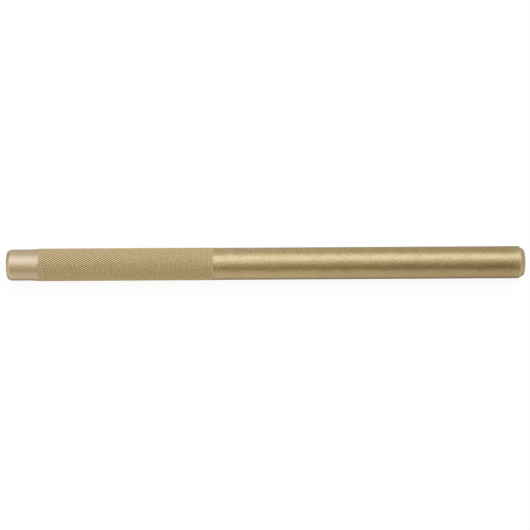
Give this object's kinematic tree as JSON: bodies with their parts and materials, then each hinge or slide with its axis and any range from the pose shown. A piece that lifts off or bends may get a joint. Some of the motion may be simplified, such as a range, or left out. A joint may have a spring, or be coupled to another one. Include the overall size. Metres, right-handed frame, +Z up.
{
  "type": "brass drift punch",
  "caption": "Straight round bar punch of solid brass with a diamond-knurled grip, a slightly turned-down striking head and chamfered flat ends, for driving pins without marring steel.",
  "frame": {"origin": "the middle of the punch's length, on the surface that it lies on", "axes": "+X along the bar from the striking head to the working tip, +Z up"},
  "size_m": [0.3048, 0.0192, 0.0193],
  "materials": {
    "brass": "satin drawn bar with a turned head and a diamond knurl"
  },
  "bodies": {
    "root": {"punch_bar": "brass"}
  },
  "joints": []
}
